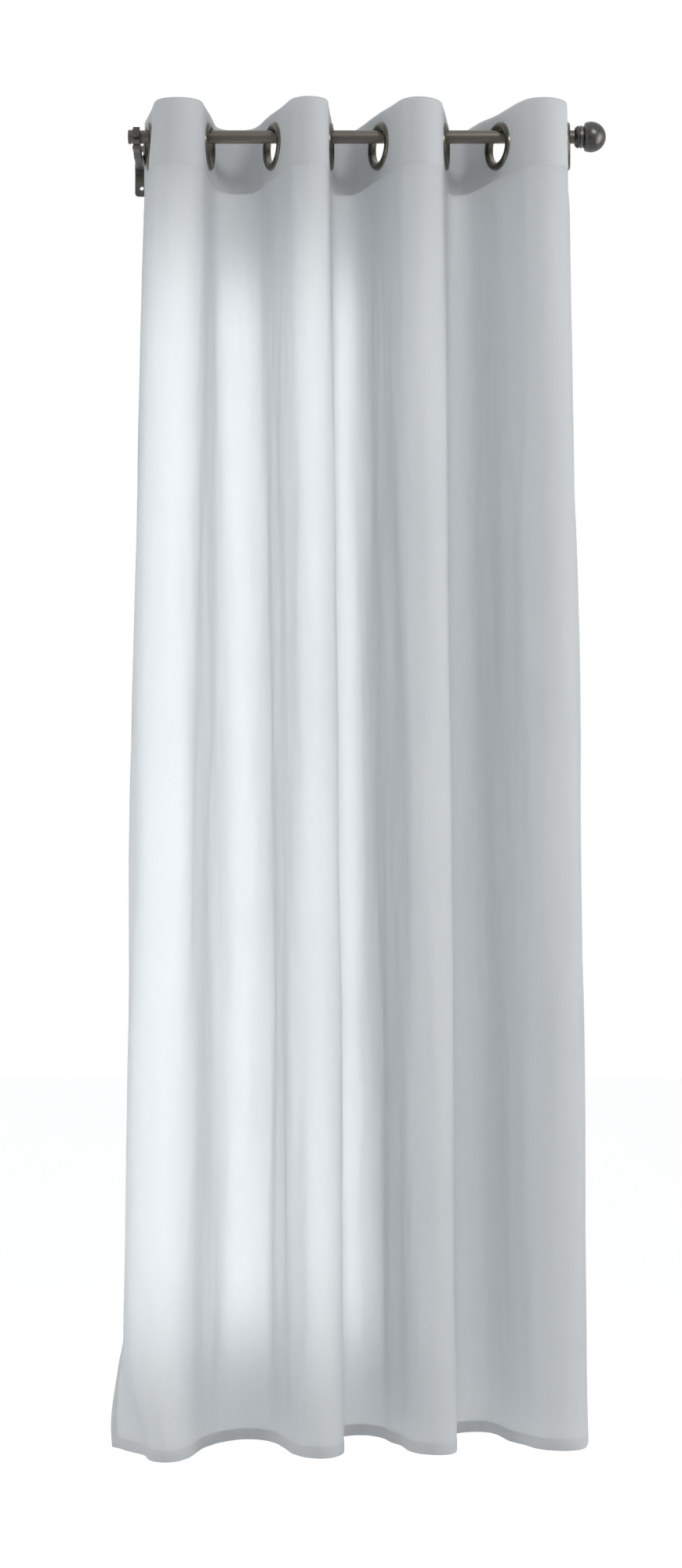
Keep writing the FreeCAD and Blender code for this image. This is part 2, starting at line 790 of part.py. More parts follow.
punches = []
for k in range(8):
    punch = doc.addObject("Part::Cylinder", f"eyelet_{k + 1}_punch")
    normal = cloth_normal(k)
    turned(punch, normal)
    x = dim(f"eyelet_{k + 1}_at")
    place(punch, x - normal.x * 8, rod_y - normal.y * 8, rod_z - dim("eyelet_drop"))
    punch.setExpression("Radius", (dim("eyelet_hole") + dim("barrel_wall") + gap).text)
    punch.Height = 16
    punches.append(punch)
punch_set = doc.addObject("Part::MultiFuse", "eyelet_punches")
punch_set.Shapes = punches
header = doc.addObject("Part::Cut", "header_band")
header.Base = band
header.Tool = punch_set
header.Label = "header_band"
made.append(header)
doc.recompute()


def hang(name, top, bottom, noses=None):
    """A piece of cloth between the header seam and the hem, lofted between two plan outlines."""
    body = new_body(name, None, rod_y)
    low = new_sketch(body, "XY_Plane", f"{name}_hem_plan", hem)
    strip(low, *bottom, HEM_NOSES)
    high = new_sketch(body, "XY_Plane", f"{name}_seam_plan", seam - dim("seam_gap"))
    strip(high, *top, TOP_NOSES)
    drop = body.newObject("PartDesign::AdditiveLoft", f"{name}_drop")
    drop.Profile = low
    drop.Sections = [high]
    drop.Ruled = True
    body.Tip = drop
    doc.recompute()


for k, name in enumerate(FOLD_NAMES):
    hang(f"{name}_fold", path_of([TOP_PLAN[k]], (None, None)), path_of([HEM_PLAN[k]], (None, None)))


def return_path(plan, which, corner):
    """The short straight piece of cloth between the first or last crossing and the panel's edge."""
    crossing = plan[which]["start"] if which == 0 else plan[which]["end"]
    heading = (corner - crossing).normalize()
    start = crossing + heading * SIZES["fold_clear"]
    return [(start, heading), (corner, heading)], [None]


hang("left_return", return_path(TOP_PLAN, 0, top_ends[0]), return_path(HEM_PLAN, 0, hem_ends[0]))
hang("right_return", return_path(TOP_PLAN, -1, top_ends[1]), return_path(HEM_PLAN, -1, hem_ends[1]))

# ---------------------------------------------------------------- check and write
doc.recompute()
for thing in doc.Objects:
    if "Invalid" in thing.State or "Error" in thing.State:
        raise RuntimeError(f"{thing.Name} did not build: {thing.State}")
for thing in made:
    shape = thing.Shape
    if shape.isNull() or not shape.isValid() or len(shape.Solids) != 1:
        raise RuntimeError(f"{thing.Label} is not one valid solid")
for thing in made:
    thing.Shape.exportStep(f"parts/{thing.Label}.step")
print(f"{len(made)} sub-parts written")
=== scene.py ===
"""Looks of the window curtain on a rod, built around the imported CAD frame.

Everything is in metres in the frame's own axes: X along the rod, Y towards the wall, Z up. The cloth
is worked out in millimetres on its flat pattern: s across the panel from its left edge, and h down
from its top edge.
"""

import json
import math

import bpy
import numpy as np
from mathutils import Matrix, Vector


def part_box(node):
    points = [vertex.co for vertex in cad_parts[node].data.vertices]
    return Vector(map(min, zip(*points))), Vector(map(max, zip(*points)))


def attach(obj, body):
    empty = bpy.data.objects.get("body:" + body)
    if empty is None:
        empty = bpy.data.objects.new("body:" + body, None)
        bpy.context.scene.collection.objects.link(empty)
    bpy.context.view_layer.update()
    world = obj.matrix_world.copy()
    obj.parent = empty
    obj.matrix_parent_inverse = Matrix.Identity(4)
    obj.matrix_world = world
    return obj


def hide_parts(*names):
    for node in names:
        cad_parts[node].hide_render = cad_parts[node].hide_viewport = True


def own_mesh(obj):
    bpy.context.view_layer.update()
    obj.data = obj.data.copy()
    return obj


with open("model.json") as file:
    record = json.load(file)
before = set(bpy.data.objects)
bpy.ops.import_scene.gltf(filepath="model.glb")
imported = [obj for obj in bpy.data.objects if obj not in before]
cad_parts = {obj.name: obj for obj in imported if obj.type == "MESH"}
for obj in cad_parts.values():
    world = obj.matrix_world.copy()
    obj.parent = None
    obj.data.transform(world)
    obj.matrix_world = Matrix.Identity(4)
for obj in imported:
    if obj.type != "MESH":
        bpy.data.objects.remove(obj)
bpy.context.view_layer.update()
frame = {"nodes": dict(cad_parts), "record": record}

# ---------------------------------------------------------------- places read from the frame
MM = 0.001
rod_low, rod_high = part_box("rod_tube")
ROD = (Vector(rod_low) + Vector(rod_high)) / 2
ring_low, ring_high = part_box("eyelet_8_front_ring")
EYELET_Z = (ring_low.z + ring_high.z) / 2
header_low, header_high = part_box("header_band")
TOP = header_high.z
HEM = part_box("front_2_fold")[0].z

# ---------------------------------------------------------------- the panel's pattern, in mm
WIDE = 1320.0
TALL = (TOP - HEM) / MM
HEADER = (TOP - header_low.z) / MM
PITCH = 177.0
MARGIN = 40.0
EYELETS = 8
EYELET_H = (TOP - EYELET_Z) / MM
HOLE = 21.8
SIDE_HEM = 12.0
BOTTOM_HEM = 13.0
LAST_EYELET = MARGIN + PITCH * (EYELETS - 1)

# where the panel crosses the rod's plane (mm along X) and its angle to the rod there, at each level
LEVELS = [0.0, 110.0, 700.0, 1500.0, 1600.0]
CROSSINGS = [
    [-473.6, -401.9, -323.6, -254.7, -194.3, -115.1, -50.0, 33.0],
    [-478.5, -402.0, -322.0, -254.2, -193.0, -114.8, -49.5, 34.5],
    [-490.0, -404.0, -316.0, -248.0, -186.0, -111.5, -45.0, 43.0],
    [-499.0, -406.0, -309.0, -241.5, -175.5, -108.0, -38.5, 49.0],
    [-489.0, -406.0, -308.0, -241.0, -175.0, -108.0, -38.0, 50.0],
]
ANGLES = [
    [78.0, 83.0, 69.0, 87.0, 67.0, 83.0, 63.0, 85.0],
    [84.0, 83.0, 69.0, 87.0, 67.0, 84.0, 63.0, 85.0],
    [84.0, 76.0, 72.0, 92.0, 66.0, 91.0, 62.0, 88.0],
    [90.0, 72.0, 70.0, 93.0, 68.0, 92.0, 66.0, 89.0],
    [97.0, 72.0, 70.0, 93.0, 68.0, 92.0, 66.0, 90.0],
]
# how softly the legs of a fold run into its nose, at each level
ROUNDING = [6.0, 9.0, 15.0, 17.0, 17.0]

# the bottom left corner: the flap's angle to the rod, and the reach of the bend beside it
FLAP_ANGLE = 52.0
FLAP_REACH = 38.0

# unevenness, in mm
HEM_TILT = 15.0
EDGE_WAVE = 0.8
WANDER = 1.6
STREAKS = 0.34
DRAG_RIDGE = 0.9
DRAG_HOLLOW = 0.6
SEAM_PUCKER = 0.16
FULL_TURN = 6.28

# half of the cloth's thickness, and what each doubled part and seam changes, in mm
HALF_SINGLE = 0.42
HALF_HEADER = 0.34
HALF_BOTTOM_HEM = 0.36
HALF_SIDE_HEM = 0.34
HALF_AT_RING = 0.1
SEAM_GROOVE = 0.3
SEAM_REACH = 0.9
HALF_LEAST = 0.16

# stitches: pitch and length along the header and bottom, and down the sides, in mm
STITCH_PITCH, STITCH_LONG = 3.4, 2.4
SIDE_STITCH_PITCH, SIDE_STITCH_LONG = 3.8, 2.6
# a thread's half width, half height and lift off the cloth, in metres
THREAD_WIDE, THREAD_TALL, THREAD_LIFT = 0.00026, 0.00019, 0.00004


def ramp(x, low, high):
    """Smooth step from 0 at low to 1 at high."""
    v = np.clip((x - low) / (high - low), 0, 1)
    return v * v * (3 - 2 * v)


def level_value(table, h):
    """A row of a table of values by level, in proportion between its levels."""
    table = np.asarray(table, float)
    k = min(int(np.searchsorted(LEVELS, h, side="right")) - 1, len(LEVELS) - 2)
    v = (h - LEVELS[k]) / (LEVELS[k + 1] - LEVELS[k])
    v = min(max(v, 0.0), 1.0)
    return table[k] + (table[k + 1] - table[k]) * v


def half_wave(start, a, x1, b, side, length):
    """Leg, arc and leg from a point to the next crossing: (first leg, radius, second leg)."""
    a, b = math.radians(a), math.radians(b)
    if abs(a + b - math.pi) < 0.004:
        b -= 0.004
    ax, ay = math.cos(a), side * math.sin(a)
    bx, by = -math.cos(b), side * math.sin(b)
    cross = ax * -by + bx * ay
    low, high = 1.0, (x1 - start[0]) / 1.05
    for _ in range(48):
        r = (low + high) / 2
        gx = x1 - start[0] + (-math.sin(b) - math.sin(a)) * r
        gy = -start[1] + (-side * math.cos(b) + side * math.cos(a)) * r
        first = (gx * -by + bx * gy) / cross
        second = (ax * gy - ay * gx) / cross
        if first + second + r * (a + b) > length:
            low = r
        else:
            high = r
    return first, r, second


FINE = np.arange(0.0, WIDE + 0.5, 1.0)


def smooth(values, width):
    """Gaussian smoothing along the cloth, at 1 mm steps."""
    reach = int(width * 3) + 1
    kernel = np.exp(-0.5 * (np.arange(-reach, reach + 1) / width) ** 2)
    kernel /= kernel.sum()
    return np.convolve(np.pad(values, reach, mode="edge"), kernel, mode="valid")


def plan(h):
    """The panel's line seen from above at level h, at every millimetre of its width: (x, y) in mm."""
    xs, angles = level_value(CROSSINGS, h), level_value(ANGLES, h)
    # near the hem the left margin flares out, and the cloth bends where the flap meets the first fold
    flare = float(ramp(h, 1450, 1590))
    flap = angles[0] + (FLAP_ANGLE - angles[0]) * flare
    bend = FLAP_REACH * flare
    corner = np.array([math.cos(math.radians(flap)), -math.sin(math.radians(flap))]) * bend
    heading = np.full(len(FINE), -math.radians(flap))
    for k in range(EYELETS - 1):
        side = -1 if k % 2 == 0 else 1
        begin = (xs[k], 0.0) if k else (xs[0] + corner[0], corner[1])
        used = 0.0 if k else bend
        first, r, second = half_wave(begin, angles[k], xs[k + 1], angles[k + 1], side, PITCH - used)
        a, b = math.radians(angles[k]), math.radians(angles[k + 1])
        along = FINE - (MARGIN + PITCH * k + used)
        here = (along >= 0) & (along <= PITCH - used + 1)
        turn = np.clip((along[here] - first) / max(PITCH - used - first - second, 1.0), 0, 1)
        heading[here] = side * (a - turn * (a + b))
    heading[FINE > LAST_EYELET] = math.radians(angles[-1])
    heading = smooth(heading, level_value(ROUNDING, h))
    x = np.concatenate([[0], np.cumsum(np.cos(heading[:-1]))])
    y = np.concatenate([[0], np.cumsum(np.sin(heading[:-1]))])
    at = MARGIN + PITCH * np.arange(EYELETS)
    off_x = np.interp(FINE, at, xs - np.interp(at, FINE, x))
    off_y = np.interp(FINE, at, -np.interp(at, FINE, y))
    return x + smooth(off_x, 25.0), y + smooth(off_y, 25.0)


# ---------------------------------------------------------------- the hanging surface
def steps(start, stop, size):
    """Even steps of about that size, without the last."""
    n = max(1, round((stop - start) / size))
    return list(np.linspace(start, stop, n, endpoint=False))


HEADER_SEAM = HEADER - 1.5
ROWS = np.array(
    steps(0, 76, 4)
    + [76.0, HEADER_SEAM - 1.2, HEADER_SEAM - 0.5, HEADER_SEAM, HEADER_SEAM + 0.5, HEADER + 0.3, HEADER + 1.0]
    + steps(84, 140, 5)
    + steps(140, TALL - 40, 9)
    + steps(TALL - 40, TALL - BOTTOM_HEM - 3, 5)
    + [TALL - BOTTOM_HEM - 2, TALL - BOTTOM_HEM - 1.2, TALL - BOTTOM_HEM - 0.5]
    + [TALL - BOTTOM_HEM, TALL - BOTTOM_HEM + 0.8, TALL - BOTTOM_HEM + 2]
    + [TALL - 9, TALL - 6, TALL - 3, TALL - 1, TALL]
)
COLUMNS = np.array(
    steps(0, MARGIN, 4)
    + steps(MARGIN, LAST_EYELET, PITCH / 44)
    + steps(WIDE - MARGIN, WIDE + 0.001, 4)
    + [WIDE]
)

random = np.random.default_rng(11)


def random_wave(*ranges):
    """One wave: its lengths drawn from the ranges, in mm, and then two phases."""
    lengths = [random.uniform(low, high) for low, high in ranges]
    return (*lengths, random.uniform(0, FULL_TURN), random.uniform(0, FULL_TURN))


WAVES = [random_wave((45, 150), (500, 1600)) for _ in range(14)]
FINE_WAVES = [random_wave((16, 42), (150, 520)) for _ in range(16)]
EDGE_WAVES = [(random.uniform(70, 190), random.uniform(0, FULL_TURN)) for _ in range(6)]


def wander(s, h):
    """Slow unevenness of the hang, growing below the header."""
    total = np.zeros(np.broadcast(s, h).shape)
    for across, down, p, q in WAVES:
        sway = np.sin(h / down * FULL_TURN + q)
        total += np.sin(s / across * FULL_TURN + p + 1.2 * sway)
    return total / len(WAVES) ** 0.5


def streaks(s, h):
    """Short soft wrinkles that lean down the cloth."""
    total = np.zeros(np.broadcast(s, h).shape)
    for across, down, p, q in FINE_WAVES:
        sway = np.sin(h / down * FULL_TURN + q)
        total += np.sin(s / across * FULL_TURN + p + 1.6 * sway) * np.sin(h / down * 3.1 + p)
    return total / len(FINE_WAVES) ** 0.5


def edge_wave(s):
    """Slight up and down of a sewn edge, in units of its height."""
    return sum(np.sin(s / across * FULL_TURN + p) for across, p in EDGE_WAVES) / len(EDGE_WAVES) ** 0.5


plans = [plan(h) for h in ROWS]
GRID_X = np.array([p[0] for p in plans])
GRID_Y = np.array([p[1] for p in plans])
GRID_Z = np.repeat(-ROWS[:, None], len(FINE), axis=1)
tilt = FINE[None, :] / WIDE * HEM_TILT - HEM_TILT / 2
GRID_Z = GRID_Z + tilt * ramp(ROWS, 100, TALL)[:, None]


def grid_normals():
    """Room-side unit normals of the surface at every grid point."""
    p = np.stack([GRID_X, GRID_Y, GRID_Z], axis=-1)
    across = np.gradient(p, axis=1)
    down = np.gradient(p, ROWS, axis=0)
    n = np.cross(down, across)
    return n / np.linalg.norm(n, axis=-1, keepdims=True)


near_edges = 1 - ramp(ROWS, 0, 14) + ramp(ROWS, TALL - 60, TALL)
GRID_Z = GRID_Z + EDGE_WAVE * edge_wave(FINE)[None, :] * near_edges[:, None]
GRID_N = grid_normals()
amount = WANDER * ramp(ROWS, 90, 600)[:, None] * (1 - 0.55 * ramp(ROWS, TALL - 160, TALL)[:, None])
uneven = wander(FINE[None, :], ROWS[:, None]) * amount
below_header = 0.35 + 0.65 * ramp(ROWS, 60, 160)[:, None]
uneven += STREAKS * streaks(FINE[None, :], ROWS[:, None]) * below_header
drag = np.zeros_like(uneven)
for k in range(EYELETS):
    from_eyelet = FINE[None, :] - (MARGIN + PITCH * k)
    fade = ramp(ROWS, 62, 95)[:, None] * (1 - ramp(ROWS, 130, 420)[:, None])
    width = 16 + 0.10 * np.maximum(ROWS - 60, 0)[:, None]
    drag += DRAG_RIDGE * np.exp(-((from_eyelet / width) ** 2)) * fade
    drag -= DRAG_HOLLOW * np.exp(-(((np.abs(from_eyelet) - 1.7 * width) / width) ** 2)) * fade
moved = (uneven + drag)[..., None] * GRID_N
GRID_X, GRID_Y, GRID_Z = GRID_X + moved[..., 0], GRID_Y + moved[..., 1], GRID_Z + moved[..., 2]
# the cloth lies flat between each pair of rings, in their plane, and eases off beyond the rings' rims
RING_REACH, EASED_ACROSS, EASED_DOWN = 31, 44, 80
for k in range(EYELETS):
    from_eyelet = FINE[None, :] - (MARGIN + PITCH * k)
    held_across = 1 - ramp(np.abs(from_eyelet), RING_REACH, EASED_ACROSS)
    held = held_across * (1 - ramp(ROWS[:, None] - EYELET_H, RING_REACH, EASED_DOWN))
    turn = math.radians(ANGLES[0][k]) * (-1 if k % 2 == 0 else 1)
    GRID_X = GRID_X + held * (CROSSINGS[0][k] + from_eyelet * math.cos(turn) - GRID_X)
    GRID_Y = GRID_Y + held * (from_eyelet * math.sin(turn) - GRID_Y)
GRID_N = grid_normals()


def surface(s, h):
    """Points (metres) and normals of the cloth's middle at pattern places."""
    s, h = np.asarray(s, float), np.asarray(h, float)
    j = np.clip(np.searchsorted(ROWS, h, side="right") - 1, 0, len(ROWS) - 2)
    v = ((h - ROWS[j]) / (ROWS[j + 1] - ROWS[j]))[:, None]
    i = np.clip(s.astype(int), 0, len(FINE) - 2)
    u = (s - i)[:, None]
    out = []
    for g in (np.stack([GRID_X, GRID_Y, GRID_Z], axis=-1), GRID_N):
        above = g[j, i] * (1 - u) + g[j, i + 1] * u
        below = g[j + 1, i] * (1 - u) + g[j + 1, i + 1] * u
        out.append(above * (1 - v) + below * v)
    points, normals = out
    normals = normals / np.linalg.norm(normals, axis=1, keepdims=True)
    place = np.array([0.0, ROD.y, TOP])
    return points * MM + place, normals


def half_thickness(s, h):
    """Half the cloth's thickness in mm: doubled header and hems, and a groove at each seam."""
    edge = np.minimum(s, WIDE - s)
    from_bottom = TALL - h
    half = np.full(len(s), HALF_SINGLE)
    half += HALF_HEADER * (1 - ramp(h, HEADER - 0.3, HEADER + 0.6))
    half += HALF_BOTTOM_HEM * (1 - ramp(from_bottom, BOTTOM_HEM, BOTTOM_HEM + 1.6))
    half += HALF_SIDE_HEM * (1 - ramp(edge, SIDE_HEM - 1, SIDE_HEM + 4)) * ramp(h, HEADER, HEADER + 4)
    for seam, place in ((HEADER_SEAM, h), (BOTTOM_HEM - 0.4, from_bottom)):
        half -= SEAM_GROOVE * np.exp(-(((place - seam) / SEAM_REACH) ** 2))
    k = np.round((s - MARGIN) / PITCH)
    from_hole = np.hypot(s - MARGIN - PITCH * k, h - EYELET_H)
    half += HALF_AT_RING * (1 - ramp(from_hole, 24, 33))
    rim = np.minimum(np.minimum(edge, from_bottom), h)
    return np.maximum(half * (0.55 + 0.45 * ramp(rim, 0, 2.5)), HALF_LEAST)


def pucker(s, h):
    """Small ripples beside the seams, in mm."""
    from_bottom = TALL - h
    by_seam = np.exp(-np.abs(h - HEADER_SEAM) / 7) * (h > 2) + np.exp(-np.abs(from_bottom - BOTTOM_HEM) / 8)
    ripple = np.sin(s / 11.3 * FULL_TURN + 1.4 * np.sin(s / 61))
    ripple = ripple + 0.6 * np.sin(s / 7.7 * FULL_TURN + 2.0 * np.sin(s / 43))
    return SEAM_PUCKER * ripple * by_seam


# ---------------------------------------------------------------- flat pattern mesh with real holes
# columns each side of an eyelet whose faces run round its hole, and the shares of the way to its edge
BLOCK_COLUMNS = 9
RING_SHARES = (0.3, 0.58, 0.8, 0.93, 1.0)


def pattern_mesh():
    """Pattern points (s, h) and faces of the flat panel, with a round hole at each eyelet."""
    points, faces, index = [], [], {}

    def grid_point(i, j):
        if (i, j) not in index:
            index[i, j] = len(points)
            points.append((COLUMNS[i], ROWS[j]))
        return index[i, j]

    blocks = []
    top_row, bottom_row = 1, int(np.searchsorted(ROWS, 75.9))
    for k in range(EYELETS):
        centre = int(np.argmin(np.abs(COLUMNS - (MARGIN + PITCH * k))))
        blocks.append((centre - BLOCK_COLUMNS, centre + BLOCK_COLUMNS))
    for j in range(len(ROWS) - 1):
        for i in range(len(COLUMNS) - 1):
            if top_row <= j < bottom_row and any(a <= i < b for a, b in blocks):
                continue
            corners = ((i, j), (i, j + 1), (i + 1, j + 1), (i + 1, j))
            faces.append(tuple(grid_point(*corner) for corner in corners))
    for k, (a, b) in enumerate(blocks):
        centre = np.array([MARGIN + PITCH * k, EYELET_H])
        loop = [(i, top_row) for i in range(a, b)] + [(b, j) for j in range(top_row, bottom_row)]
        loop += [(i, bottom_row) for i in range(b, a, -1)] + [(a, j) for j in range(bottom_row, top_row, -1)]
        outer = [grid_point(i, j) for i, j in loop]
        ring = outer
        for share in RING_SHARES:
            inner = []
            for p in outer:
                place = np.array(points[p])
                ray = place - centre
                on_circle = centre + ray / np.linalg.norm(ray) * HOLE
                inner.append(len(points))
                points.append(tuple(place + (on_circle - place) * share))
            for n in range(len(ring)):
                m = (n + 1) % len(ring)
                faces.append((ring[n], inner[n], inner[m], ring[m]))
            ring = inner
    return np.array(points), faces


def cloth_object(name):
    """The whole panel as one closed sheet, with its thickness."""
    pattern, faces = pattern_mesh()
    s, h = pattern[:, 0], pattern[:, 1]
    points, normals = surface(s, h)
    half = (half_thickness(s, h) * MM)[:, None]
    shift = (pucker(s, h) * MM)[:, None]
    front = points + normals * (shift + half)
    back = points + normals * (shift - half)
    n = len(points)
    uses = dict.fromkeys((a, b) for f in faces for a, b in zip(f, f[1:] + f[:1]))
    every = [tuple(f) for f in faces] + [tuple(p + n for p in reversed(f)) for f in faces]
    every += [(b, a, a + n, b + n) for a, b in uses if (b, a) not in uses]
    mesh = bpy.data.meshes.new(name)
    mesh.from_pydata(np.concatenate([front, back]).tolist(), [], every)
    mesh.update()
    uv = mesh.uv_layers.new(name="pattern")
    loops = np.zeros(len(mesh.loops), int)
    mesh.loops.foreach_get("vertex_index", loops)
    uv.data.foreach_set("uv", (pattern[loops % n] * MM).astype(np.float32).ravel())
    for p in mesh.polygons:
        p.use_smooth = True
    obj = bpy.data.objects.new(name, mesh)
    bpy.context.scene.collection.objects.link(obj)
    return obj


cloth = cloth_object("curtain_cloth")


# ---------------------------------------------------------------- stitches
def stitch_rows():
    """Start and end pattern places of every stitch that shows."""
    ends = []
    for h in (HEADER_SEAM, TALL - BOTTOM_HEM + 0.4):
        ends += [((s, h), (s + STITCH_LONG, h)) for s in np.arange(3.0, WIDE - 4, STITCH_PITCH)]
    for s in (SIDE_HEM - 1, WIDE - SIDE_HEM + 1):
        down = np.arange(HEADER + 4, TALL - BOTTOM_HEM - 4, SIDE_STITCH_PITCH)
        ends += [((s, h), (s, h + SIDE_STITCH_LONG)) for h in down]
    return ends


def stitch_object(name):
    """Every stitch as a short rounded thread lying on both faces of the cloth."""
    ends = stitch_rows()
    a, b = np.array([e[0] for e in ends]), np.array([e[1] for e in ends])
    profile = ((0.0, 0.05), (0.18, 0.85), (0.5, 1.0), (0.82, 0.85), (1.0, 0.05))
    around = 6
    points, faces = [], []
    for side in (1, -1):
        rings = []
        for t, size in profile:
            at = a + (b - a) * t
            p, n = surface(at[:, 0], at[:, 1])
            half = (half_thickness(at[:, 0], at[:, 1]) + side * pucker(at[:, 0], at[:, 1])) * MM
            along = surface(b[:, 0], b[:, 1])[0] - surface(a[:, 0], a[:, 1])[0]
            along /= np.linalg.norm(along, axis=1, keepdims=True)
            across = np.cross(n, along)
            centre = p + n * (side * (half + THREAD_LIFT * (1 + 2 * size)))[:, None]
            for q in range(around):
                turn = 2 * math.pi * q / around
                offset = across * math.cos(turn) * THREAD_WIDE + n * math.sin(turn) * THREAD_TALL
                rings.append(centre + offset * size)
        count = len(ends)
        rings = np.array(rings)
        start = len(points)
        points += rings.reshape(-1, 3).tolist()
        for k in range(count):
            for r in range(len(profile) - 1):
                for q in range(around):
                    q2 = (q + 1) % around
                    places = ((r, q), (r, q2), (r + 1, q2), (r + 1, q))
                    faces.append([start + (row * around + place) * count + k for row, place in places])
            faces.append([start + q * count + k for q in reversed(range(around))])
            faces.append([start + ((len(profile) - 1) * around + q) * count + k for q in range(around)])
    mesh = bpy.data.meshes.new(name)
    mesh.from_pydata(points, [], faces)
    mesh.update()
    for p in mesh.polygons:
        p.use_smooth = True
    obj = bpy.data.objects.new(name, mesh)
    bpy.context.scene.collection.objects.link(obj)
    return obj


stitches = stitch_object("seam_stitches")


# ---------------------------------------------------------------- materials
def nodes_of(name):
    """A new node material: (material, its tree, function that adds a node, principled shader, output)."""
    material = bpy.data.materials.new(name)
    material.use_nodes = True
    tree = material.node_tree
    tree.nodes.clear()

    def add(kind, **values):
        node = tree.nodes.new(kind)
        for key, value in values.items():
            if hasattr(node, key):
                setattr(node, key, value)
            else:
                node.inputs[key.replace("_", " ")].default_value = value
        return node

    shader = add("ShaderNodeBsdfPrincipled")
    output = add("ShaderNodeOutputMaterial")
    tree.links.new(shader.outputs[0], output.inputs["Surface"])
    return material, tree, add, shader, output


def mix_colour(tree, add, factor, first, second):
    """A colour between two, by a factor."""
    node = add("ShaderNodeMix", data_type="RGBA")
    tree.links.new(factor, node.inputs[0])
    node.inputs[6].default_value = (*first, 1)
    node.inputs[7].default_value = (*second, 1)
    return node.outputs[2]


def scaled(tree, add, source, low, high):
    """A value of 0 to 1 moved to low to high."""
    node = add("ShaderNodeMapRange")
    tree.links.new(source, node.inputs["Value"])
    node.inputs["To Min"].default_value = low
    node.inputs["To Max"].default_value = high
    return node.outputs[0]


def cloth_material(name, light, shade, seen_through):
    """Plain weave with slight slubs: light passes through it by a share."""
    material, tree, add, shader, output = nodes_of(name)
    coordinates = add("ShaderNodeTexCoord")
    weft = add("ShaderNodeTexWave", bands_direction="X", Scale=520.0, Distortion=0.5)
    warp = add("ShaderNodeTexWave", bands_direction="Y", Scale=520.0, Distortion=0.5)
    stretch_across = add("ShaderNodeMapping")
    stretch_across.inputs["Scale"].default_value = (60, 900, 1)
    stretch_down = add("ShaderNodeMapping")
    stretch_down.inputs["Scale"].default_value = (900, 40, 1)
    slub_across = add("ShaderNodeTexNoise", Scale=1.0, Detail=3.0)
    slub_down = add("ShaderNodeTexNoise", Scale=1.0, Detail=3.0)
    cloudy = add("ShaderNodeTexNoise", Scale=5.0, Detail=4.0)
    uv = coordinates.outputs["UV"]
    for node in (weft, warp, cloudy, stretch_across, stretch_down):
        tree.links.new(uv, node.inputs["Vector"])
    tree.links.new(stretch_across.outputs[0], slub_across.inputs["Vector"])
    tree.links.new(stretch_down.outputs[0], slub_down.inputs["Vector"])
    threads = add("ShaderNodeMath", operation="MULTIPLY")
    tree.links.new(weft.outputs["Fac"], threads.inputs[0])
    tree.links.new(warp.outputs["Fac"], threads.inputs[1])
    slubs = add("ShaderNodeMath", operation="ADD")
    tree.links.new(slub_across.outputs["Fac"], slubs.inputs[0])
    tree.links.new(slub_down.outputs["Fac"], slubs.inputs[1])
    relief = add("ShaderNodeMath", operation="ADD")
    tree.links.new(threads.outputs[0], relief.inputs[0])
    tree.links.new(slubs.outputs[0], relief.inputs[1])
    bump = add("ShaderNodeBump", Strength=0.6, Distance=0.0004)
    tree.links.new(relief.outputs[0], bump.inputs["Height"])
    tree.links.new(bump.outputs[0], shader.inputs["Normal"])
    tone = add("ShaderNodeMath", operation="MULTIPLY_ADD")
    tree.links.new(slubs.outputs[0], tone.inputs[0])
    tone.inputs[1].default_value = 0.45
    tree.links.new(cloudy.outputs["Fac"], tone.inputs[2])
    factor = scaled(tree, add, tone.outputs[0], -0.4, 1.1)
    colour = mix_colour(tree, add, factor, shade, light)
    tree.links.new(colour, shader.inputs["Base Color"])
    rough = scaled(tree, add, slubs.outputs[0], 0.78, 0.92)
    tree.links.new(rough, shader.inputs["Roughness"])
    shader.inputs["Sheen Weight"].default_value = 0.45
    shader.inputs["Sheen Roughness"].default_value = 0.45
    shader.inputs["Specular IOR Level"].default_value = 0.25
    through = add("ShaderNodeBsdfTranslucent")
    tree.links.new(colour, through.inputs["Color"])
    mix = add("ShaderNodeMixShader")
    mix.inputs[0].default_value = seen_through
    tree.links.new(shader.outputs[0], mix.inputs[1])
    tree.links.new(through.outputs[0], mix.inputs[2])
    tree.links.new(mix.outputs[0], output.inputs["Surface"])
    return material


